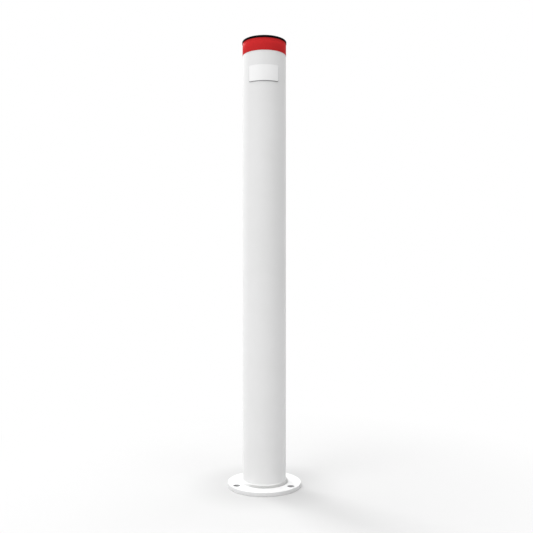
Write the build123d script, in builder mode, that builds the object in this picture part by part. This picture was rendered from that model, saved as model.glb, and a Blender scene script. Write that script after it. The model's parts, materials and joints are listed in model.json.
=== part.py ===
from build123d import *

import os

# Surface-mounted bollard: a steel tube welded on a round base plate, closed by a push-in plastic cap.
# Millimetres, +Z up. The origin is the centre of the base plate's underside, and -Y is the front.

# Post tube
tube_diameter = 88.9
tube_wall = 3.2
tube_length = 898.0
tube_end_bevel = 0.5

# Base plate
plate_thickness = 8.0
flange_width = 30.55
plate_edge_bevel = 0.6
anchor_hole_count = 3
anchor_hole_diameter = 14.0
anchor_edge_distance = 12.0
anchor_hole_bevel = 0.5

# Convex fillet weld round the foot of the tube
weld_leg_on_plate = 4.5
weld_leg_on_tube = 6.5
weld_crown_reach = 3.0
weld_crown_height = 4.0

# Cap: the head that shows above the tube
head_height = 4.5
head_overhang = 1.0
head_edge_round = 1.2
head_wall = 2.8
gate_dimple_diameter = 9.0
gate_dimple_depth = 0.5

# Cap: the plug inside the tube
plug_depth = 22.0
plug_wall = 2.2
plug_lead_in = 1.2
fin_count = 3
fin_reach = 3.0
fin_root_thickness = 1.7
fin_tip_thickness = 0.7
fin_clearance = 0.1
web_count = 6
web_thickness = 1.6
web_depth = 12.0
hub_diameter = 9.0

# Reflective tape, laid right under the cap's head and lapped at the back
tape_width = 25.0
tape_thickness = 0.3
tape_lap = 14.0

# Label plate on the front, its width measured straight across
label_width = 60.0
label_height = 33.0
label_thickness = 0.8
label_corner = 4.0
label_below_tape = 29.0

# Glue line under the tape and under the label
glue_thickness = 0.05

# Radii that follow from the sizes above
tube_radius = tube_diameter / 2
bore_radius = tube_radius - tube_wall
plate_radius = tube_radius + flange_width
anchor_circle_radius = plate_radius - anchor_edge_distance
glued_radius = tube_radius + glue_thickness
head_radius = tube_radius + head_overhang
fin_tip_radius = bore_radius - fin_clearance
plug_radius = fin_tip_radius - fin_reach
plug_bore_radius = plug_radius - plug_wall

# Heights that follow from the sizes above
tube_top = plate_thickness + tube_length
head_top = tube_top + head_height
head_ceiling = head_top - head_wall
plug_bottom = tube_top - plug_depth
fin_pitch = (plug_depth - plug_lead_in) / fin_count
tape_bottom = tube_top - tape_width
label_bottom = tape_bottom - label_below_tape - label_height
label_middle = label_bottom + label_height / 2

os.makedirs("parts", exist_ok=True)

# Base plate: a laser-cut disc with its rims eased, one anchor hole straight behind the post
with BuildPart() as base_plate:
    with BuildSketch():
        Circle(plate_radius)
    extrude(amount=plate_thickness)
    chamfer(base_plate.edges().filter_by(GeomType.CIRCLE), length=plate_edge_bevel)
    with BuildSketch():
        with PolarLocations(anchor_circle_radius, anchor_hole_count, start_angle=90):
            Circle(anchor_hole_diameter / 2)
    extrude(amount=plate_thickness, mode=Mode.SUBTRACT)
    upper_face = base_plate.faces().filter_by(GeomType.PLANE).sort_by(Axis.Z)[-1]
    chamfer(upper_face.inner_wires().edges(), length=anchor_hole_bevel)
base_plate.part.label = "base_plate"
export_step(base_plate.part, "parts/base_plate.step")

# Post tube: round tube cut square, deburred where the cap goes in
with BuildPart() as post_tube:
    with BuildSketch(Plane.XY.offset(plate_thickness)):
        Circle(tube_radius)
        Circle(bore_radius, mode=Mode.SUBTRACT)
    extrude(amount=tube_length)
    chamfer(post_tube.edges().group_by(Axis.Z)[-1], length=tube_end_bevel)
post_tube.part.label = "post_tube"
export_step(post_tube.part, "parts/post_tube.step")

# Base weld: the section of its convex bead has a flat from each toe to the crown between them
with BuildPart() as base_weld:
    with BuildSketch(Plane.XZ):
        with BuildLine():
            Polyline(
                (tube_radius, plate_thickness),
                (tube_radius + weld_leg_on_plate, plate_thickness),
                (tube_radius + weld_crown_reach, plate_thickness + weld_crown_height),
                (tube_radius, plate_thickness + weld_leg_on_tube),
                close=True,
            )
        make_face()
    revolve(axis=Axis.Z)
base_weld.part.label = "base_weld"
export_step(base_weld.part, "parts/base_weld.step")

# Top cap: one moulding with a round-edged head, a hollow plug, gripping fins and webs under the head
with BuildPart() as top_cap:
    with BuildSketch(Plane.XZ) as cap_section:
        with BuildLine():
            Polyline(
                (0, head_top),
                (head_radius, head_top),
                (head_radius, tube_top),
                (plug_radius, tube_top),
                (plug_radius, plug_bottom + plug_lead_in),
                (plug_radius - plug_lead_in, plug_bottom),
                (plug_bore_radius, plug_bottom),
                (plug_bore_radius, head_ceiling),
                (0, head_ceiling),
                close=True,
            )
        make_face()
        head_corner = cap_section.vertices().group_by(Axis.X)[-1].sort_by(Axis.Y)[-1]
        fillet(head_corner, radius=head_edge_round)
        for fin in range(fin_count):
            fin_foot = plug_bottom + plug_lead_in + fin * fin_pitch
            fin_upper_side = fin_foot + fin_root_thickness
            with BuildLine():
                Polyline(
                    (plug_radius, fin_foot),
                    (fin_tip_radius, fin_upper_side - fin_tip_thickness),
                    (fin_tip_radius, fin_upper_side),
                    (plug_radius, fin_upper_side),
                    close=True,
                )
            make_face()
    revolve(axis=Axis.Z)
    with BuildSketch(Plane.XY.offset(tube_top - web_depth)):
        with PolarLocations(0, web_count):
            Rectangle(plug_bore_radius + plug_wall / 2, web_thickness, align=(Align.MIN, Align.CENTER))
        Circle(hub_diameter / 2)
    extrude(amount=head_ceiling - tube_top + web_depth + head_wall / 2)
    with BuildSketch(Plane.XY.offset(head_top)):
        Circle(gate_dimple_diameter / 2)
    extrude(amount=-gate_dimple_depth, mode=Mode.SUBTRACT)
top_cap.part.label = "top_cap"
export_step(top_cap.part, "parts/top_cap.step")

# Reflective band: one turn of tape whose end laps over its start at the back
with BuildPart() as reflective_band:
    with BuildSketch(Plane.XY.offset(tape_bottom)):
        Circle(glued_radius + tape_thickness)
        Circle(glued_radius, mode=Mode.SUBTRACT)
    extrude(amount=tape_width)
    with BuildSketch(Plane.XY.offset(tape_bottom)):
        Circle(glued_radius + 2 * tape_thickness)
        Circle(glued_radius + tape_thickness, mode=Mode.SUBTRACT)
        Rectangle(
            tape_lap, 2 * tube_diameter, align=(Align.CENTER, Align.MIN), mode=Mode.INTERSECT
        )
    extrude(amount=tape_width)
reflective_band.part.label = "reflective_band"
export_step(reflective_band.part, "parts/reflective_band.step")

# Label plate: a thin curved plate cut to a rounded rectangle seen from the front
with BuildPart() as label_plate:
    with BuildSketch(Plane.XY.offset(label_bottom)):
        Circle(glued_radius + label_thickness)
        Circle(glued_radius, mode=Mode.SUBTRACT)
    extrude(amount=label_height)
    with BuildSketch(Plane.XZ):
        with Locations((0, label_middle)):
            RectangleRounded(label_width, label_height, label_corner)
    extrude(amount=tube_diameter, mode=Mode.INTERSECT)
label_plate.part.label = "label_plate"
export_step(label_plate.part, "parts/label_plate.step")
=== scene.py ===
import json
import logging
import math
from collections.abc import Mapping
from dataclasses import dataclass, field
from enum import Enum
from typing import ClassVar

import bmesh
import bpy
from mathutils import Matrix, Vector


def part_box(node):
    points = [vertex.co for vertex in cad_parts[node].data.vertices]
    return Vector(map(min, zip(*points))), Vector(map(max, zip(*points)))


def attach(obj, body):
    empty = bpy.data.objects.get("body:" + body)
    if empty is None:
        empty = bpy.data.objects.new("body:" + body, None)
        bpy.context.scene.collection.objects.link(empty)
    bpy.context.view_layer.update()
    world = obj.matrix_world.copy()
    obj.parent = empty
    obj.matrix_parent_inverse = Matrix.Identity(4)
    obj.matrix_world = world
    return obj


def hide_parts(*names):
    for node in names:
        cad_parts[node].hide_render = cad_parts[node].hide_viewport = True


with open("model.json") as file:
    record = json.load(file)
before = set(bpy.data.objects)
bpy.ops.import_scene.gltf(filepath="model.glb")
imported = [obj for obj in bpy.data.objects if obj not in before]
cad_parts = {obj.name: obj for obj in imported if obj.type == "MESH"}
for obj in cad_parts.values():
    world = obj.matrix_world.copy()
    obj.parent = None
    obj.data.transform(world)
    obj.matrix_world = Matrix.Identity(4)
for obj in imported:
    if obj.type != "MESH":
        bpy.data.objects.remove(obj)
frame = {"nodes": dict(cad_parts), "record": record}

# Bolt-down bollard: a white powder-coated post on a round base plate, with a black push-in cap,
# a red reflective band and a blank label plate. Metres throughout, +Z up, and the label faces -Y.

MM = 0.001
Colour = tuple[float, float, float]
log = logging.getLogger("bollard")


# Writing node trees

@dataclass(frozen=True)
class Signal:
    """One output of a node, which takes part in plain arithmetic."""

    graph: "Graph"
    socket: bpy.types.NodeSocket

    def output(self, name: str) -> "Signal":
        """Returns another output of the same node."""
        return Signal(self.graph, self.socket.node.outputs[name])

    def _math(self, operation: str, *operands: "Signal | float") -> "Signal":
        """Adds a Math node.

        Args:
            operation: The Math node's operation.
            operands: Its inputs, in order.

        Returns:
            The node's result.
        """
        return self.graph.node("ShaderNodeMath", {"operation": operation}, dict(enumerate(operands)))

    def __add__(self, other: "Signal | float") -> "Signal":
        """Adds the other value to this one."""
        return self._math("ADD", self, other)

    def __radd__(self, other: float) -> "Signal":
        """Adds this value to a number."""
        return self._math("ADD", other, self)

    def __sub__(self, other: "Signal | float") -> "Signal":
        """Takes the other value from this one."""
        return self._math("SUBTRACT", self, other)

    def __rsub__(self, other: float) -> "Signal":
        """Takes this value from a number."""
        return self._math("SUBTRACT", other, self)

    def __mul__(self, other: "Signal | float") -> "Signal":
        """Multiplies the two values."""
        return self._math("MULTIPLY", self, other)

    def __rmul__(self, other: float) -> "Signal":
        """Multiplies a number by this value."""
        return self._math("MULTIPLY", other, self)

    def __truediv__(self, other: "Signal | float") -> "Signal":
        """Divides this value by the other one."""
        return self._math("DIVIDE", self, other)

    def __rtruediv__(self, other: float) -> "Signal":
        """Divides a number by this value."""
        return self._math("DIVIDE", other, self)

    def __mod__(self, period: "Signal | float") -> "Signal":
        """Wraps this value into one period, below zero too."""
        return self._math("FLOORED_MODULO", self, period)

    def __neg__(self) -> "Signal":
        """Turns the sign round."""
        return self._math("MULTIPLY", self, -1.0)

    def __abs__(self) -> "Signal":
        """Drops the sign."""
        return self._math("ABSOLUTE", self)

    def __lt__(self, limit: "Signal | float") -> "Signal":
        """Gives 1 where this value is under the limit, and 0 elsewhere."""
        return self._math("LESS_THAN", self, limit)

    def __gt__(self, limit: "Signal | float") -> "Signal":
        """Gives 1 where this value is over the limit, and 0 elsewhere."""
        return self._math("GREATER_THAN", self, limit)

    def sine(self) -> "Signal":
        """Gives the sine of an angle in radians."""
        return self._math("SINE", self)

    def cosine(self) -> "Signal":
        """Gives the cosine of an angle in radians."""
        return self._math("COSINE", self)

    def root(self) -> "Signal":
        """Gives the square root."""
        return self._math("SQRT", self)

    def hypot(self, other: "Signal") -> "Signal":
        """Gives the length of the vector whose two parts are this value and the other one."""
        return (self * self + other * other).root()

    def at_least(self, floor: "Signal | float") -> "Signal":
        """Gives the larger of the two values."""
        return self._math("MAXIMUM", self, floor)

    def at_most(self, ceiling: "Signal | float") -> "Signal":
        """Gives the smaller of the two values."""
        return self._math("MINIMUM", self, ceiling)

    def angle_to(self, other: "Signal | float") -> "Signal":
        """Gives the angle whose sine side is this value and whose cosine side is the other one."""
        return self._math("ARCTAN2", self, other)

    def ramp(self, start: float, end: float) -> "Signal":
        """Rises smoothly from 0 at start to 1 at end.

        Args:
            start: The value at which the rise starts.
            end: The value at which it ends, which may be the lower one.

        Returns:
            The smooth step.
        """
        sockets = {"Value": self, "From Min": start, "From Max": end}
        return self.graph.node("ShaderNodeMapRange", {"interpolation_type": "SMOOTHSTEP"}, sockets)


class Graph:
    """Writes nodes into one tree, for a finish, the world or a shape rule."""

    def __init__(self, tree: bpy.types.NodeTree) -> None:
        """Empties the tree.

        Args:
            tree: The node tree to write into.
        """
        self.tree = tree
        tree.nodes.clear()

    def node(
        self,
        kind: str,
        settings: Mapping[str, object] | None = None,
        sockets: Mapping[str | int, object] | None = None,
        output: str | int = 0,
    ) -> Signal:
        """Adds one node: its settings first, and then its sockets.

        Args:
            kind: The node's type.
            settings: Its properties, such as a Math node's operation.
            sockets: A value or a signal for each input that isn't left at its default.
            output: The output to return.

        Returns:
            The chosen output, or the first input of a node that has no outputs.
        """
        node = self.tree.nodes.new(kind)
        for name, setting in (settings or {}).items():
            setattr(node, name, setting)
        for key, value in (sockets or {}).items():
            if isinstance(value, Signal):
                self.tree.links.new(value.socket, node.inputs[key])
            else:
                node.inputs[key].default_value = value
        return Signal(self, node.outputs[output]) if node.outputs else Signal(self, node.inputs[0])

    def vector(self, x: Signal | float, y: Signal | float, z: Signal | float) -> Signal:
        """Joins three values to a vector."""
        return self.node("ShaderNodeCombineXYZ", None, {"X": x, "Y": y, "Z": z})

    def axes(self, vector: Signal) -> tuple[Signal, Signal, Signal]:
        """Splits a vector into its three values."""
        split = self.node("ShaderNodeSeparateXYZ", None, {"Vector": vector})
        return split, split.output("Y"), split.output("Z")

    def blend(self, share: Signal, low: "Signal | Colour", high: "Signal | Colour") -> Signal:
        """Mixes two colours, each of them plain or made by nodes.

        Args:
            share: The share of the second colour.
            low: The first colour.
            high: The second colour.

        Returns:
            The mixed colour.
        """
        first, second = (end if isinstance(end, Signal) else (*end, 1.0) for end in (low, high))
        return self.node("ShaderNodeMix", {"data_type": "RGBA"}, {0: share, 6: first, 7: second}, 2)

    def noise(self, place: Signal, size: float, detail: float = 2.0, roughness: float = 0.5) -> Signal:
        """Adds fractal noise.

        Args:
            place: The coordinates.
            size: How far apart its blotches are, in the coordinates' unit.
            detail: How many finer layers it has.
            roughness: How strong those layers are.

        Returns:
            The noise, around 0.5.
        """
        sockets = {"Vector": place, "Scale": 1.0 / size, "Detail": detail, "Roughness": roughness}
        return self.node("ShaderNodeTexNoise", None, sockets, "Fac")

    def bump(self, relief: Signal, depth: float) -> Signal:
        """Tilts the surface by a height map.

        Args:
            relief: The height, from 0 to about 1.
            depth: The height that 1 stands for, in metres.

        Returns:
            The tilted normal.
        """
        return self.node("ShaderNodeBump", None, {"Strength": 1.0, "Distance": depth, "Height": relief})

    def place(self) -> Signal:
        """Reads the Object coordinates, in metres."""
        return self.node("ShaderNodeTexCoord", output="Object")

    def stored(self, name: str) -> Signal:
        """Reads a value that a shape rule has stored on the piece."""
        return self.node("ShaderNodeAttribute", {"attribute_name": name}, output="Fac")

    def seen(self) -> Signal:
        """Gives 1 for a ray that shows something: straight to the camera, in a gloss or through glass."""
        rays = self.node("ShaderNodeLightPath", output="Is Camera Ray")
        return rays.at_least(rays.output("Is Glossy Ray")).at_least(rays.output("Is Transmission Ray"))


class ShapeRule:
    """A Geometry Nodes tree with named sizes, which is turned into a plain mesh."""

    def __init__(self, name: str, sizes: Mapping[str, float]) -> None:
        """Starts the tree with its inputs.

        Args:
            name: The tree's name.
            sizes: Each input's name and value. A whole number makes a whole-number input.
        """
        self.name = name
        self.sizes = dict(sizes)
        self.tree = bpy.data.node_groups.new(name, "GeometryNodeTree")
        self.tree.interface.new_socket("Mesh", in_out="OUTPUT", socket_type="NodeSocketGeometry")
        for size, value in self.sizes.items():
            kind = "NodeSocketInt" if isinstance(value, int) else "NodeSocketFloat"
            self.tree.interface.new_socket(size, in_out="INPUT", socket_type=kind)
        self.graph = Graph(self.tree)
        self._inputs = self.graph.node("NodeGroupInput")

    def size(self, name: str) -> Signal:
        """Returns a named input."""
        return self._inputs.output(name)

    def store(self, shape: Signal, name: str, value: Signal) -> Signal:
        """Stores a value on each point, for the finish to read.

        Args:
            shape: The geometry.
            name: The name that the finish asks for.
            value: What is stored.

        Returns:
            The geometry with the value on it.
        """
        sockets = {"Geometry": shape, "Name": name, "Value": value}
        return self.graph.node(
            "GeometryNodeStoreNamedAttribute", {"data_type": "FLOAT", "domain": "POINT"}, sockets
        )

    def close(self, shape: Signal, material: bpy.types.Material) -> None:
        """Ends the tree in Realize Instances and Set Material.

        Args:
            shape: The finished geometry.
            material: The finish that it gets.
        """
        real = self.graph.node("GeometryNodeRealizeInstances", None, {"Geometry": shape})
        dressed = self.graph.node("GeometryNodeSetMaterial", None, {"Geometry": real, "Material": material})
        self.graph.node("NodeGroupOutput", None, {0: dressed})

    def make(self, name: str) -> bpy.types.Object:
        """Runs the rule once and keeps what it makes as a plain mesh.

        Args:
            name: The new object's name.

        Returns:
            The object, with its faces pointing outwards.
        """
        piece = new_object(name, bpy.data.meshes.new(name + "_start"))
        modifier = piece.modifiers.new(self.name, "NODES")
        modifier.node_group = self.tree
        for item in self.tree.interface.items_tree:
            if item.in_out == "INPUT":
                modifier[item.identifier] = self.sizes[item.name]
        graph = bpy.context.evaluated_depsgraph_get()
        mesh = bpy.data.meshes.new_from_object(piece.evaluated_get(graph), depsgraph=graph)
        piece.modifiers.remove(modifier)
        piece.data = mesh
        mesh.name = name
        finish = mesh.materials[-1]
        mesh.materials.clear()
        mesh.materials.append(finish)
        mesh.polygons.foreach_set("material_index", [0] * len(mesh.polygons))
        face_outwards(mesh)
        return piece


def new_object(name: str, data: bpy.types.ID) -> bpy.types.Object:
    """Puts a new object into the scene, at the origin and unturned."""
    made = bpy.data.objects.new(name, data)
    bpy.context.scene.collection.objects.link(made)
    return made


def face_outwards(mesh: bpy.types.Mesh) -> None:
    """Recalculates a closed mesh's normals, so that its faces point outwards."""
    work = bmesh.new()
    work.from_mesh(mesh)
    bmesh.ops.recalc_face_normals(work, faces=work.faces)
    work.to_mesh(mesh)
    work.free()


# Finishes

@dataclass(frozen=True)
class Finish:
    """What all finishes share: each becomes one material."""

    name: ClassVar[str] = "finish"

    def surface(self, graph: Graph) -> Signal:
        """Writes the finish's nodes and returns its shader."""
        raise NotImplementedError

    def material(self) -> bpy.types.Material:
        """Makes the material.

        Returns:
            A material whose nodes are this finish's own.
        """
        made = bpy.data.materials.new(self.name)
        made.use_nodes = True
        graph = Graph(made.node_tree)
        graph.node("ShaderNodeOutputMaterial", None, {"Surface": self.surface(graph)})
        return made


class Film(Enum):
    """What the powder coat lies over."""

    DRAWN_TUBE = "powder_coat_on_tube"
    CUT_PLATE = "powder_coat_on_plate"
    WELD_BEAD = "powder_coat_on_weld_with_painted_shade"


@dataclass(frozen=True)
class HolePattern:
    """A ring of round holes: how many, the radius of their circle and their own radius."""

    count: int
    circle: float
    radius: float

    @classmethod
    def of(cls, mount: str) -> "HolePattern":
        """Reads the holes of a bolt pattern among the mounts in the part's record."""
        sizes = next(entry["dims"] for entry in frame["record"]["mounts"] if entry["name"] == mount)
        return cls(sizes["count"], sizes["pcd_mm"] / 2 * MM, sizes["hole_r_mm"] * MM)


@dataclass(frozen=True)
class PowderCoat(Finish):
    """White polyester powder coat: fine orange peel over a faintly uneven film. It carries painted shade on
    the weld bead and inside the anchor holes.
    """

    film: Film = Film.DRAWN_TUBE
    rim_radius: float = 0.0
    thick_film: Colour = (0.815, 0.815, 0.815)
    thin_film: Colour = (0.80, 0.80, 0.798)
    crest_painted_shade: Colour = (0.58, 0.58, 0.575)
    valley_painted_shade: Colour = (0.44, 0.44, 0.435)
    ripple_range: tuple[float, float] = (0.1, 0.9)
    peel_size: float = 1.7 * MM
    peel_depth: float = 0.035 * MM
    cloud_size: float = 60 * MM
    cloud_range: tuple[float, float] = (0.3, 0.7)
    grain_size: float = 0.3 * MM
    grain_share: float = 0.2
    roughness: float = 0.4
    cloud_roughness: float = 0.1
    grain_roughness: float = 0.06
    specular: float = 0.2
    cut_line_pitch: float = 0.9 * MM
    cut_line_depth: float = 0.08 * MM
    cut_line_stretch: float = 0.12
    rim_fade: tuple[float, float] = (0.5 * MM, 0.1 * MM)
    hole_painted_shade: Colour = (0.48, 0.48, 0.485)
    hole_edge: float = 0.5 * MM
    hole_edge_start: float = 0.6

    @property
    def name(self) -> str:
        """Names the material after what the coat lies over."""
        return self.film.value

    def surface(self, graph: Graph) -> Signal:
        """Writes the coat's nodes and returns its shader."""
        place = graph.place()
        clouds = graph.noise(place, self.cloud_size, detail=4.0)
        peel = graph.noise(place, self.peel_size, detail=1.0)
        grain = graph.noise(place, self.grain_size, detail=1.0)
        relief = peel + self.grain_share * grain
        colour = graph.blend(clouds.ramp(*self.cloud_range), self.thin_film, self.thick_film)
        if self.film is Film.WELD_BEAD:
            # Painted shade: the bead is grey and darker in its ripples' valleys, except where the stored
            # share leaves it as white as the plate
            ripple = graph.stored("ripple").ramp(*self.ripple_range)
            painted_bead_shade = graph.blend(ripple, self.valley_painted_shade, self.crest_painted_shade)
            colour = graph.blend(graph.stored("unshaded"), painted_bead_shade, colour)
        elif self.film is Film.CUT_PLATE:
            relief = relief + self._cut_lines(graph, place) * (self.cut_line_depth / self.peel_depth)
            # Painted shade on the anchor holes' walls
            colour = graph.blend(self._hole_shade_share(graph, place), colour, self.hole_painted_shade)
        sockets = {
            "Base Color": colour,
            "Roughness": self.roughness + self.cloud_roughness * clouds + self.grain_roughness * grain,
            "Specular IOR Level": self.specular,
            "Normal": graph.bump(relief, self.peel_depth),
        }
        return graph.node("ShaderNodeBsdfPrincipled", None, sockets)

    def _cut_lines(self, graph: Graph, place: Signal) -> Signal:
        """Draws the upright lines that a laser leaves on a cut rim.

        Args:
            graph: The finish's graph.
            place: The Object coordinates.

        Returns:
            The lines' height, 0 away from the rim.
        """
        x, y, z = graph.axes(place)
        along_rim = x.angle_to(y) * self.rim_radius
        unrolled = graph.vector(along_rim, z * self.cut_line_stretch, 0.0)
        lines = graph.noise(unrolled, self.cut_line_pitch, detail=1.0)
        start, end = (self.rim_radius - inwards for inwards in self.rim_fade)
        return lines * x.hypot(y).ramp(start, end)

    def _hole_shade_share(self, graph: Graph, place: Signal) -> Signal:
        """Finds the anchor holes' walls, which get painted shade.

        Args:
            graph: The finish's graph.
            place: The Object coordinates.

        Returns:
            1 on the walls, falling to 0 on the eased edge round each hole.
        """
        holes = HolePattern.of("anchor_holes")
        x, y, _ = graph.axes(place)
        pitch = math.tau / holes.count
        # The turn away from the nearest hole, where one of the holes lies straight behind the post
        turn = (y.angle_to(x) - math.pi / 2 + math.tau + pitch / 2) % pitch - pitch / 2
        radius = x.hypot(y)
        across = radius * turn.sine()
        outwards = radius * turn.cosine() - holes.circle
        start = holes.radius + self.hole_edge_start * self.hole_edge
        return 1.0 - across.hypot(outwards).ramp(start, holes.radius + self.hole_edge)


@dataclass(frozen=True)
class MouldedPlastic(Finish):
    """Black polyethylene moulding: spark-eroded grain, scuffs and faint flow marks from the gate.

    The flow marks' number is how many fit in one radian round the gate, and their change is per metre.
    """

    name: ClassVar[str] = "black_moulded_plastic"
    skin: Colour = (0.004, 0.004, 0.0043)
    worn: Colour = (0.007, 0.007, 0.0073)
    grain_size: float = 0.45 * MM
    grain_depth: float = 0.03 * MM
    grain_roughness: float = 0.1
    flow_marks: float = 9.0
    flow_change: float = 14.0
    flow_share: float = 0.25
    flow_roughness: float = 0.12
    scuff_size: float = 14 * MM
    scuff_range: tuple[float, float] = (0.45, 0.75)
    fine_layers: float = 0.6
    roughness: float = 0.7
    specular: float = 0.002

    def surface(self, graph: Graph) -> Signal:
        """Writes the plastic's nodes and returns its shader."""
        place = graph.place()
        x, y, _ = graph.axes(place)
        turn = x.angle_to(y)
        # Flow marks run outwards from the gate: the noise changes fast round it and slowly along a radius
        ring_x, ring_y = turn.sine() * self.flow_marks, turn.cosine() * self.flow_marks
        flow = graph.noise(graph.vector(ring_x, ring_y, x.hypot(y) * self.flow_change), 1.0, detail=3.0)
        grain = graph.noise(place, self.grain_size, detail=2.0, roughness=self.fine_layers)
        scuffs = graph.noise(place, self.scuff_size, detail=5.0, roughness=self.fine_layers)
        sockets = {
            "Base Color": graph.blend(scuffs.ramp(*self.scuff_range), self.skin, self.worn),
            "Roughness": self.roughness + self.flow_roughness * flow + self.grain_roughness * grain,
            "Specular IOR Level": self.specular,
            "Normal": graph.bump(grain + self.flow_share * flow, self.grain_depth),
        }
        return graph.node("ShaderNodeBsdfPrincipled", None, sockets)


@dataclass(frozen=True)
class ReflectiveTape(Finish):
    """Red reflective sheeting: small six-sided cells, closed by thin sealed walls, under a clear film."""

    name: ClassVar[str] = "red_reflective_tape"
    cell_colour: Colour = (0.62, 0.029, 0.031)
    wall_colour: Colour = (0.54, 0.023, 0.025)
    cell_pitch: float = 3.2 * MM
    cell_ratio: ClassVar[float] = math.sqrt(3.0)
    wall_share: float = 0.09
    wall_core: float = 0.3
    wall_roughness: float = 0.12
    quilt_depth: float = 0.03 * MM
    bead_size: float = 0.25 * MM
    bead_share: float = 0.06
    bead_roughness: float = 0.08
    cloud_size: float = 30 * MM
    cloud_share: float = 0.3
    roughness: float = 0.34
    specular: float = 0.008

    def surface(self, graph: Graph) -> Signal:
        """Writes the tape's nodes and returns its shader."""
        place = graph.place()
        height = graph.axes(place)[2]
        reach = self._cell_reach(graph.stored("along") / self.cell_pitch, height / self.cell_pitch)
        wall = reach.ramp(0.5 - self.wall_share, 0.5 - self.wall_core * self.wall_share)
        beads = graph.noise(place, self.bead_size, detail=1.0)
        clouds = graph.noise(place, self.cloud_size, detail=3.0)
        darkened = (wall + self.cloud_share * clouds).at_most(1.0)
        sockets = {
            "Base Color": graph.blend(darkened, self.cell_colour, self.wall_colour),
            "Roughness": self.roughness + self.wall_roughness * wall + self.bead_roughness * beads,
            "Specular IOR Level": self.specular,
            "Normal": graph.bump(1.0 - wall + self.bead_share * beads, self.quilt_depth),
        }
        return graph.node("ShaderNodeBsdfPrincipled", None, sockets)

    def _cell_reach(self, across: Signal, up: Signal) -> Signal:
        """Measures how far a point is from the middle of its six-sided cell.

        Args:
            across: The place along the tape, in cells.
            up: The place across the tape, in cells.

        Returns:
            The distance towards the nearest wall: 0 in the middle and 0.5 on the wall.
        """
        half_ratio = self.cell_ratio / 2
        even = (across % 1.0 - 0.5, up % self.cell_ratio - half_ratio)
        odd = ((across - 0.5) % 1.0 - 0.5, (up - half_ratio) % self.cell_ratio - half_ratio)
        even_is_nearer = even[0] * even[0] + even[1] * even[1] < odd[0] * odd[0] + odd[1] * odd[1]
        side, rise = (abs(o + (e - o) * even_is_nearer) for e, o in zip(even, odd))
        return side.at_least(0.5 * side + half_ratio * rise)


@dataclass(frozen=True)
class LabelStock(Finish):
    """Satin white label face with a painted shade line round its edge: thin and grey down its sides, darker
    below, where the plate's edge shades it from light above.
    """

    name: ClassVar[str] = "white_label_stock"
    width: float
    height: float
    corner: float
    side_line: float = 0.6 * MM
    lower_line: float = 1.2 * MM
    line_fade: tuple[float, float] = (1.15, 0.85)
    line_relief: float = 0.5
    line_roughness: float = 0.1
    lower_start: float = 0.8
    corner_end: float = 0.3
    face: Colour = (0.925, 0.925, 0.925)
    shaded_face: Colour = (0.91, 0.91, 0.91)
    side_painted_shade: Colour = (0.45, 0.45, 0.46)
    lower_painted_shadow: Colour = (0.18, 0.18, 0.185)
    cloud_size: float = 25 * MM
    grain_size: float = 0.35 * MM
    grain_depth: float = 0.012 * MM
    grain_roughness: float = 0.08
    roughness: float = 0.34
    specular: float = 0.25

    def surface(self, graph: Graph) -> Signal:
        """Writes the label's nodes and returns its shader."""
        x, y, _ = graph.axes(graph.node("ShaderNodeTexCoord", output="UV"))
        # The painted shade line turns dark round the lower corners and dies out round the upper ones, which
        # face the light from above
        edge, inset = self.height / 2, self.corner_end * self.corner
        below = y.ramp(self.lower_start * self.corner - edge, inset - edge)
        above = y.ramp(edge - self.corner, edge - inset)
        width = self.side_line + (self.lower_line - self.side_line) * below
        line = (-self._outside(x, y) / width).ramp(*self.line_fade) * (1.0 - above)
        painted_edge_shade = graph.blend(below, self.side_painted_shade, self.lower_painted_shadow)
        place = graph.place()
        clouds = graph.noise(place, self.cloud_size, detail=3.0)
        grain = graph.noise(place, self.grain_size, detail=1.0)
        paper = graph.blend(clouds, self.shaded_face, self.face)
        sockets = {
            "Base Color": graph.blend(line, paper, painted_edge_shade),
            "Roughness": self.roughness + self.grain_roughness * grain + self.line_roughness * line,
            "Specular IOR Level": self.specular,
            "Normal": graph.bump(grain + self.line_relief * line, self.grain_depth),
        }
        return graph.node("ShaderNodeBsdfPrincipled", None, sockets)

    def _outside(self, x: Signal, y: Signal) -> Signal:
        """Measures how far a point lies outside the label's outline.

        Args:
            x: The place across, from the label's middle.
            y: The place up, from the label's middle.

        Returns:
            The distance, below zero inside the outline.
        """
        over_x = abs(x) - (self.width / 2 - self.corner)
        over_y = abs(y) - (self.height / 2 - self.corner)
        inside = over_x.at_least(over_y).at_most(0.0)
        return over_x.at_least(0.0).hypot(over_y.at_least(0.0)) + inside - self.corner


# The object's own pieces

@dataclass(frozen=True)
class NodeBox:
    """The box that a CAD node fills, in metres."""

    low: Vector
    high: Vector

    @classmethod
    def of(cls, node: str) -> "NodeBox":
        """Reads the box of a CAD node."""
        return cls(*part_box(node))

    @property
    def radius(self) -> float:
        """Gives a round node's outer radius, from its widest side."""
        return max(self.high.x, self.high.y, -self.low.x, -self.low.y)

    @property
    def height(self) -> float:
        """Gives the node's height."""
        return self.high.z - self.low.z


class SubAssembly:
    """What all sub-assemblies share: dressing CAD nodes and placing new pieces."""

    def build(self) -> list[bpy.types.Object]:
        """Makes and dresses the pieces, and returns them."""
        raise NotImplementedError

    def dress(self, node: str, finish: Finish) -> bpy.types.Object:
        """Gives a CAD node its finish.

        Args:
            node: The CAD node, which keeps its mesh.
            finish: The finish for all its faces.

        Returns:
            The node's object.
        """
        shown = frame["nodes"][node]
        material = finish.material()
        for material_slot in shown.material_slots:
            material_slot.material = material
        return shown

    def place(self, piece: bpy.types.Object, node: str) -> bpy.types.Object:
        """Lets a finished piece stand for a CAD node: hangs it on the root body and hides the node.

        Args:
            piece: The finished piece.
            node: The CAD node that it replaces.

        Returns:
            The piece.
        """
        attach(piece, "root")
        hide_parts(node)
        return piece


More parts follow.
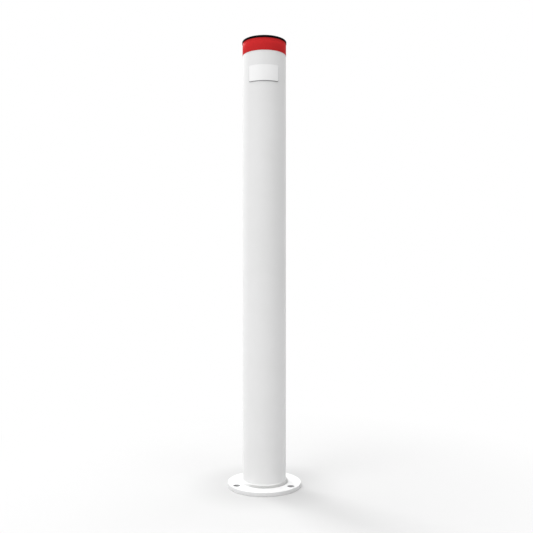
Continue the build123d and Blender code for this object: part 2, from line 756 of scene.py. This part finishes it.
@dataclass
class Foot(SubAssembly):
    """The base plate, and the weld bead that joins the tube to it.

    The ripples' lag and jitter are in ripples, the stop's reach is in turns, and the noise sizes are
    for a ring of radius 1.
    """

    plate: NodeBox = field(default_factory=lambda: NodeBox.of("base_plate"))
    tube: NodeBox = field(default_factory=lambda: NodeBox.of("post_tube"))
    weld: NodeBox = field(default_factory=lambda: NodeBox.of("base_weld"))
    toe_sink: float = 0.25 * MM
    toe_wander: float = 0.5 * MM
    bulge: float = 1.5 * MM
    ripple_pitch: float = 2.7 * MM
    ripple_depth: float = 0.5 * MM
    ripple_middle: float = 0.7
    ripple_lag: float = 0.7
    ripple_jitter: float = 0.5
    stop_rise: float = 0.4 * MM
    stop_reach: float = 0.009
    steps_per_ripple: int = 10
    steps_across: int = 21
    face_share: float = 0.7
    hair: float = 0.001
    merge_reach: float = 0.005 * MM
    seed: int = 7
    seed_lift: float = 0.37
    wander_sizes: tuple[float, float] = (0.22, 0.13)
    jitter_size: float = 0.05
    # Where the bead gets painted shade: its lower part, higher up on the right, and none of it towards the
    # left
    left_unshaded: tuple[float, float] = (0.45, 0.85)
    right_shade: tuple[float, float] = (0.35, 0.9)
    shade_edge: tuple[float, float] = (0.5, 0.78)
    right_shade_lift: float = 0.3

    def build(self) -> list[bpy.types.Object]:
        """Dresses the plate and lays the bead round the tube."""
        plate = self.dress("base_plate", PowderCoat(film=Film.CUT_PLATE, rim_radius=self.plate.radius))
        return [plate, self.place(self.bead(), "base_weld")]

    def bead_rule(self) -> ShapeRule:
        """Starts the bead's rule with all its sizes, and returns it."""
        ripples = round(math.tau * (self.tube.radius + self.weld.height / 2) / self.ripple_pitch)
        return ShapeRule("weld_bead_rule", {
            "Tube Radius": self.tube.radius,
            "Plate Top": self.plate.high.z,
            "Plate Leg": self.weld.radius - self.tube.radius,
            "Tube Leg": self.weld.height,
            "Toe Sink": self.toe_sink,
            "Bulge": self.bulge,
            "Ripple Depth": self.ripple_depth,
            "Ripple Lag": self.ripple_lag,
            "Toe Wander": self.toe_wander,
            "Stop Rise": self.stop_rise,
            "Ripples": ripples,
            "Steps Around": ripples * self.steps_per_ripple + 1,
            "Steps Across": self.steps_across,
            "Seed": self.seed,
        })

    def bead(self) -> bpy.types.Object:
        """Makes the weld bead.

        Returns:
            A closed ring with crescent ripples, slightly wavering toes and a raised stop at the front.
        """
        rule = self.bead_rule()
        graph = rule.graph
        steps = {"Vertices X": rule.size("Steps Around"), "Vertices Y": rule.size("Steps Across")}
        sheet = graph.node("GeometryNodeMeshGrid", None, {"Size X": 1.0, "Size Y": 1.0, **steps})
        x, y, _ = graph.axes(graph.node("GeometryNodeInputPosition"))
        around, across = x + 0.5, y + 0.5
        turn = around * math.tau

        # The section is closed: a bulged face over its first part, and a return hidden in the corner.
        # The hair keeps the row of points on the border between the two with the face
        face_share = self.face_share
        hidden = across > face_share + self.hair
        step = across / face_share * (1.0 - hidden) + (across - face_share) / (1.0 - face_share) * hidden

        # Both toes waver inwards only, so that the bead keeps its legs' sizes
        ring = graph.vector(turn.sine(), turn.cosine(), rule.size("Seed") * self.seed_lift)
        plate_noise, tube_noise = (graph.noise(ring, size) - 0.5 for size in self.wander_sizes)
        sink, wander, bulge = rule.size("Toe Sink"), rule.size("Toe Wander"), rule.size("Bulge")
        plate_toe = rule.size("Plate Leg") + wander * plate_noise - 0.5 * wander
        tube_toe = rule.size("Tube Leg") + wander * tube_noise - 0.5 * wander

        # The rise is greatest in the middle of the face, and goes as far outwards as upwards
        jitter = graph.noise(ring, self.jitter_size, detail=1.0) - 0.5
        wave, rise = self.ripples(rule, around, step, jitter)
        swell = rise * (1.0 - hidden) * step * (1.0 - step) * 4.0 * math.sqrt(0.5)

        def bow(start: Signal, middle: Signal, end: Signal) -> Signal:
            """Follows one curve of the section from start to end, past middle."""
            rest = 1.0 - step
            return rest * rest * start + 2.0 * rest * step * middle + step * step * end

        def either(face: Signal, back: Signal) -> Signal:
            """Picks the value of the face or of the hidden return."""
            return face + (back - face) * hidden

        out_middle = either(plate_toe * 0.5 + bulge, -sink)
        up_middle = either(tube_toe * 0.5 + bulge, -sink)
        out = bow(either(plate_toe, -sink), out_middle, either(-sink, plate_toe)) + swell
        up = bow(either(-sink, tube_toe), up_middle, either(tube_toe, -sink)) + swell
        radius = rule.size("Tube Radius") + out
        place = graph.vector(turn.sine() * radius, turn.cosine() * radius, rule.size("Plate Top") + up)

        marked = rule.store(sheet, "ripple", wave * (1.0 - hidden))
        marked = rule.store(marked, "unshaded", self.unshaded_share(turn, step))
        shaped = graph.node("GeometryNodeSetPosition", None, {"Geometry": marked, "Position": place})
        merging = {"Geometry": shaped, "Distance": self.merge_reach}
        closed = graph.node("GeometryNodeMergeByDistance", None, merging)
        smooth = graph.node("GeometryNodeSetShadeSmooth", None, {"Geometry": closed})
        rule.close(smooth, PowderCoat(film=Film.WELD_BEAD).material())
        return rule.make("weld_bead")

    def ripples(self, rule: ShapeRule, around: Signal, step: Signal, jitter: Signal) -> tuple[Signal, Signal]:
        """Shapes the face of the bead: each ripple is a crescent, and the stop is one short hump.

        Args:
            rule: The bead's rule.
            around: The place round the tube, in turns from the back.
            step: The place across the face, from 0 at the plate's toe to 1 at the tube's.
            jitter: What moves each ripple a little, around 0.

        Returns:
            The ripples, from 0 to 1, and how far the face rises by them and by the stop.
        """
        spread = 2.0 * step - 1.0
        lag = rule.size("Ripple Lag") * spread * spread
        phase = rule.size("Ripples") * around + lag + self.ripple_jitter * jitter
        wave = abs((phase * math.pi).sine())
        stop = (1.0 - abs(around - 0.5) / self.stop_reach).at_least(0.0)
        rise = rule.size("Ripple Depth") * (wave - self.ripple_middle) + rule.size("Stop Rise") * stop.root()
        return wave, rise

    def unshaded_share(self, turn: Signal, step: Signal) -> Signal:
        """Finds where the bead is left white: its upper part, more of it towards the left than the right. The
        rest gets painted shade, most of it low down and on the right.

        Args:
            turn: The place round the tube, in radians from the back.
            step: The place across the face, from 0 at the plate's toe to 1 at the tube's.

        Returns:
            1 where the coat is as white as on the plate, and 0 where the painted shade is full.
        """
        shaded = turn.sine().ramp(*self.right_shade)
        upper = (step - self.right_shade_lift * shaded).ramp(*self.shade_edge)
        return upper.at_least((-turn.sine()).ramp(*self.left_unshaded))


@dataclass
class Post(SubAssembly):
    """The tube, with the reflective tape and the label plate that are stuck on it.

    Angles are in degrees. The tape's softness is a share of its thickness, and so is the label's front share.
    """

    tube: NodeBox = field(default_factory=lambda: NodeBox.of("post_tube"))
    band: NodeBox = field(default_factory=lambda: NodeBox.of("reflective_band"))
    label: NodeBox = field(default_factory=lambda: NodeBox.of("label_plate"))
    glue: float = 0.05 * MM
    tape_lap: float = 14 * MM
    tape_climb: float = 2.5 * MM
    tape_steps: int = 320
    tape_softness: float = 0.3
    tape_edge_steps: int = 2
    tape_sharp_angle: float = 50.0
    label_thickness: float = 0.8 * MM
    label_corner: float = 4 * MM
    label_corner_steps: int = 8
    label_strips: int = 40
    label_edge: float = 0.3 * MM
    label_edge_steps: int = 3
    label_front_share: float = 0.9
    label_rim_angle: float = 60.0
    label_cut_reach: float = 1e-7
    label_weighting: int = 100

    def build(self) -> list[bpy.types.Object]:
        """Dresses the tube, winds the tape round it and lays the label on it."""
        tube = self.dress("post_tube", PowderCoat(film=Film.DRAWN_TUBE))
        tape = self.place(self.tape(), "reflective_band")
        label = self.place(self.label_plate(), "label_plate")
        return [tube, tape, label]

    @property
    def glued_radius(self) -> float:
        """Gives the radius on which the tape and the label lie."""
        return self.tube.radius + self.glue

    @property
    def tape_thickness(self) -> float:
        """Gives the tape's thickness, from its two layers at the lap."""
        return (self.band.high.y - self.glued_radius) / 2

    def tape(self) -> bpy.types.Object:
        """Winds the tape: one turn whose end climbs over its start at the back.

        Returns:
            The tape as one closed strip with softened edges.
        """
        rule = ShapeRule("tape_winding_rule", {
            "Winding Radius": self.glued_radius,
            "Thickness": self.tape_thickness,
            "Width": self.band.height,
            "Bottom": self.band.low.z,
            "Lap": self.tape_lap,
            "Climb": self.tape_climb,
            "Edge Softness": self.tape_thickness * self.tape_softness,
            "Steps": self.tape_steps,
        })
        graph = rule.graph
        radius, thickness = rule.size("Winding Radius"), rule.size("Thickness")
        line = graph.node("GeometryNodeCurvePrimitiveLine")
        path = graph.node("GeometryNodeResampleCurve", None, {"Curve": line, "Count": rule.size("Steps")})
        share = graph.node("GeometryNodeSplineParameter", output="Factor")

        # The path goes round once and on over the lap, and climbs by one thickness as it nears its start
        lap_turn, climb_turn = rule.size("Lap") / radius, rule.size("Climb") / radius
        wound = share * (math.tau + lap_turn)
        climbed = ((wound - math.tau + climb_turn) / climb_turn).ramp(0.0, 1.0)
        turn = wound + (math.pi - lap_turn * 0.5)
        winding = radius + thickness * (climbed + 0.5)
        middle = rule.size("Bottom") + rule.size("Width") * 0.5
        marked = rule.store(path, "along", wound * radius)
        place = graph.vector(turn.sine() * winding, -(turn.cosine() * winding), middle)
        bent = graph.node("GeometryNodeSetPosition", None, {"Geometry": marked, "Position": place})
        upright = graph.node("GeometryNodeSetCurveNormal", {"mode": "Z_UP"}, {"Curve": bent})

        # The section is the tape's own, with its edges rounded off a little
        sides = {"Width": thickness, "Height": rule.size("Width")}
        section = graph.node("GeometryNodeCurvePrimitiveQuadrilateral", None, sides)
        soft = graph.node(
            "GeometryNodeFilletCurve", {"mode": "POLY"},
            {"Curve": section, "Count": self.tape_edge_steps, "Radius": rule.size("Edge Softness")},
        )
        sweep = {"Curve": upright, "Profile Curve": soft, "Fill Caps": True}
        strip = graph.node("GeometryNodeCurveToMesh", None, sweep)
        rule.close(strip, ReflectiveTape().material())
        tape = rule.make("reflective_tape")
        tape.data.shade_smooth()
        tape.data.set_sharp_from_angle(angle=math.radians(self.tape_sharp_angle))
        return tape

    def label_plate(self) -> bpy.types.Object:
        """Cuts the label flat and lays it on the tube.

        Returns:
            A thin closed plate with a softened front edge.
        """
        width = self.label.high.x - self.label.low.x
        middle = (self.label.low.z + self.label.high.z) / 2
        outer = self.glued_radius + self.label_thickness
        half_arc = outer * math.asin(width / 2 / outer)
        work = self.flat_label(half_arc)
        for vertex in work.verts:
            turn, radius = vertex.co.x / outer, self.glued_radius - vertex.co.y
            vertex.co = (radius * math.sin(turn), -radius * math.cos(turn), middle + vertex.co.z)
        mesh = bpy.data.meshes.new("label_face")
        work.to_mesh(mesh)
        work.free()
        mesh.shade_smooth()
        stock = LabelStock(width=2 * half_arc, height=self.label.height, corner=self.label_corner)
        mesh.materials.append(stock.material())
        label = new_object("label_face", mesh)
        weighting = label.modifiers.new("even_shading", "WEIGHTED_NORMAL")
        weighting.weight = self.label_weighting
        return label

    def flat_label(self, half_arc: float) -> bmesh.types.BMesh:
        """Makes the flat plate in upright strips that can bend, with its back on the XZ plane.

        Args:
            half_arc: Half the label's width, measured along its front face.

        Returns:
            The closed plate around the origin. Its UV map keeps each point's flat place, in metres.
        """
        height, corner = self.label.height, self.label_corner
        work = bmesh.new()
        outline = []
        for quarter in range(4):
            centre_x = (half_arc - corner) * (1 if quarter in (0, 3) else -1)
            centre_z = (height / 2 - corner) * (1 if quarter < 2 else -1)
            for step in range(self.label_corner_steps + 1):
                angle = math.radians(90 * quarter + 90 * step / self.label_corner_steps)
                reach_x, reach_z = corner * math.cos(angle), corner * math.sin(angle)
                outline.append(work.verts.new((centre_x + reach_x, 0.0, centre_z + reach_z)))
        work.faces.new(outline)
        for cut in range(1, self.label_strips):
            at = (2 * cut / self.label_strips - 1) * half_arc
            bmesh.ops.bisect_plane(
                work, geom=work.verts[:] + work.edges[:] + work.faces[:],
                dist=self.label_cut_reach, plane_co=(at, 0, 0), plane_no=(1, 0, 0),
            )
        raised = bmesh.ops.extrude_face_region(work, geom=work.faces[:])["geom"]
        for vertex in (part for part in raised if isinstance(part, bmesh.types.BMVert)):
            vertex.co.y -= self.label_thickness
        bmesh.ops.recalc_face_normals(work, faces=work.faces)
        front = -self.label_front_share * self.label_thickness
        rim = [
            edge for edge in work.edges
            if all(vertex.co.y < front for vertex in edge.verts)
            and edge.calc_face_angle(0.0) > math.radians(self.label_rim_angle)
        ]
        bmesh.ops.bevel(
            work, geom=rim, offset=self.label_edge, segments=self.label_edge_steps,
            profile=0.5, affect="EDGES",
        )
        flat = work.loops.layers.uv.new("UVMap")
        for face in work.faces:
            for loop in face.loops:
                loop[flat].uv = (loop.vert.co.x, loop.vert.co.z)
        return work


@dataclass
class Cap(SubAssembly):
    """The push-in cap: one moulding, whose head closes the tube's top."""

    def build(self) -> list[bpy.types.Object]:
        """Dresses the moulding."""
        return [self.dress("top_cap", MouldedPlastic())]


# The studio

@dataclass(frozen=True)
class Softbox:
    """One rectangular soft light that looks at the post.

    Its bearing is in degrees from the front towards the right, and its elevation in degrees above the level.
    """

    name: str
    bearing: float
    elevation: float
    distance: float
    size: tuple[float, float]
    power: float
    aim: tuple[float, float, float] = (0.0, 0.0, 0.45)

    def hang(self) -> None:
        """Hangs the light at its distance from its aim, and turns it to the aim."""
        data = bpy.data.lights.new(self.name, "AREA")
        data.shape = "RECTANGLE"
        data.size, data.size_y = self.size
        data.energy = self.power
        lamp = new_object(self.name, data)
        bearing, elevation = math.radians(self.bearing), math.radians(self.elevation)
        level = math.cos(elevation)
        away = Vector((level * math.sin(bearing), -level * math.cos(bearing), math.sin(elevation)))
        lamp.location = Vector(self.aim) + away * self.distance
        lamp.rotation_euler = away.to_track_quat("Z", "Y").to_euler()


@dataclass(frozen=True)
class PhotoCamera:
    """The photograph's camera: level, nearly straight in front of the post, at about half its height."""

    bearing: float = 2.1
    distance: float = 1.3955
    height: float = 0.431
    frame_pixels: int = 533
    focal_pixels: float = 678.2
    shift_pixels: tuple[float, float] = (2.2, 9.0)
    sensor: float = 36.0

    def set_up(self) -> None:
        """Makes the scene's camera."""
        data = bpy.data.cameras.new("photo_camera")
        data.sensor_width = self.sensor
        data.lens = self.focal_pixels / self.frame_pixels * self.sensor
        data.shift_x, data.shift_y = (shift / self.frame_pixels for shift in self.shift_pixels)
        camera = new_object("photo_camera", data)
        bearing = math.radians(self.bearing)
        camera.location = (self.distance * math.sin(bearing), -self.distance * math.cos(bearing), self.height)
        camera.rotation_euler = (math.pi / 2, 0.0, bearing)
        bpy.context.scene.camera = camera


@dataclass(frozen=True)
class StudioFloor(Finish):
    """Matt white floor that keeps the object's shadow, carries a painted contact shade close round the plate,
    and fades to plain white away from it.
    """

    name: ClassVar[str] = "white_studio_floor"
    paint: Colour = (0.59, 0.59, 0.59)
    shaded_paint: Colour = (0.537, 0.537, 0.537)
    shade_start: float = 0.075
    shade_end: float = 0.18
    fade_start: float = 0.2
    fade_end: float = 0.8

    def surface(self, graph: Graph) -> Signal:
        """Writes the floor's nodes and returns its shader."""
        x, y, _ = graph.axes(graph.place())
        radius = x.hypot(y)
        # Painted shade: the paint darkens close round the plate, as a contact shadow
        paint = graph.blend(radius.ramp(self.shade_start, self.shade_end), self.shaded_paint, self.paint)
        sockets = {"Base Color": paint, "Roughness": 1.0, "Specular IOR Level": 0.0}
        matt = graph.node("ShaderNodeBsdfPrincipled", None, sockets)
        white = graph.node("ShaderNodeEmission", None, {"Strength": 1.0})
        away = radius.ramp(self.fade_start, self.fade_end)
        return graph.node("ShaderNodeMixShader", None, {0: graph.seen() * away, 1: matt, 2: white})


@dataclass
class Studio:
    """The floor, the lights, the plain white surroundings and the camera."""

    surroundings: float = 0.393
    floor_radius: float = 40.0
    floor_sides: int = 96
    lights: tuple[Softbox, ...] = (
        Softbox("key_softbox", 220.0, 40.0, 3.0, (0.9, 0.9), 35.2),
        Softbox("rim_softbox", 245.0, 8.0, 3.0, (1.0, 2.0), 7.9),
        Softbox("front_softbox", 317.0, 15.0, 3.0, (2.0, 2.0), 27.3),
        Softbox("fill_softbox", 62.0, 20.0, 3.0, (2.0, 2.0), 4.2),
        Softbox("overhead_softbox", 0.0, 89.0, 3.0, (2.5, 2.5), 124.0),
    )

    def set_up(self) -> None:
        """Makes the whole studio."""
        self.floor()
        self.world()
        for softbox in self.lights:
            softbox.hang()
        PhotoCamera().set_up()

    def floor(self) -> None:
        """Lays a wide round floor."""
        work = bmesh.new()
        bmesh.ops.create_circle(work, cap_ends=True, segments=self.floor_sides, radius=self.floor_radius)
        mesh = bpy.data.meshes.new("studio_floor")
        work.to_mesh(mesh)
        work.free()
        mesh.materials.append(StudioFloor().material())
        laid = new_object("studio_floor", mesh)

    def world(self) -> None:
        """Lights the object softly from all round, and shows plain white behind it."""
        world = bpy.data.worlds.new("plain_white_surroundings")
        world.use_nodes = True
        graph = Graph(world.node_tree)
        white = (1.0, 1.0, 1.0, 1.0)
        light = graph.node("ShaderNodeBackground", None, {"Color": white, "Strength": self.surroundings})
        backdrop = graph.node("ShaderNodeBackground", None, {"Color": white, "Strength": 1.0})
        shown = graph.node("ShaderNodeMixShader", None, {0: graph.seen(), 1: light, 2: backdrop})
        graph.node("ShaderNodeOutputWorld", None, {"Surface": shown})
        bpy.context.scene.world = world


def main() -> None:
    """Builds the bollard and its studio, and reports each piece."""
    logging.basicConfig(level=logging.INFO, format="%(name)s: %(message)s")
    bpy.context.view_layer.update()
    for assembly in (Foot(), Post(), Cap()):
        for piece in assembly.build():
            faces, finish = len(piece.data.polygons), piece.material_slots[0].material.name
            log.info("%s: %s, %d faces, %s", type(assembly).__name__, piece.name, faces, finish)
    Studio().set_up()
    bpy.context.scene.view_settings.view_transform = "Standard"


if __name__ == "__main__":
    main()
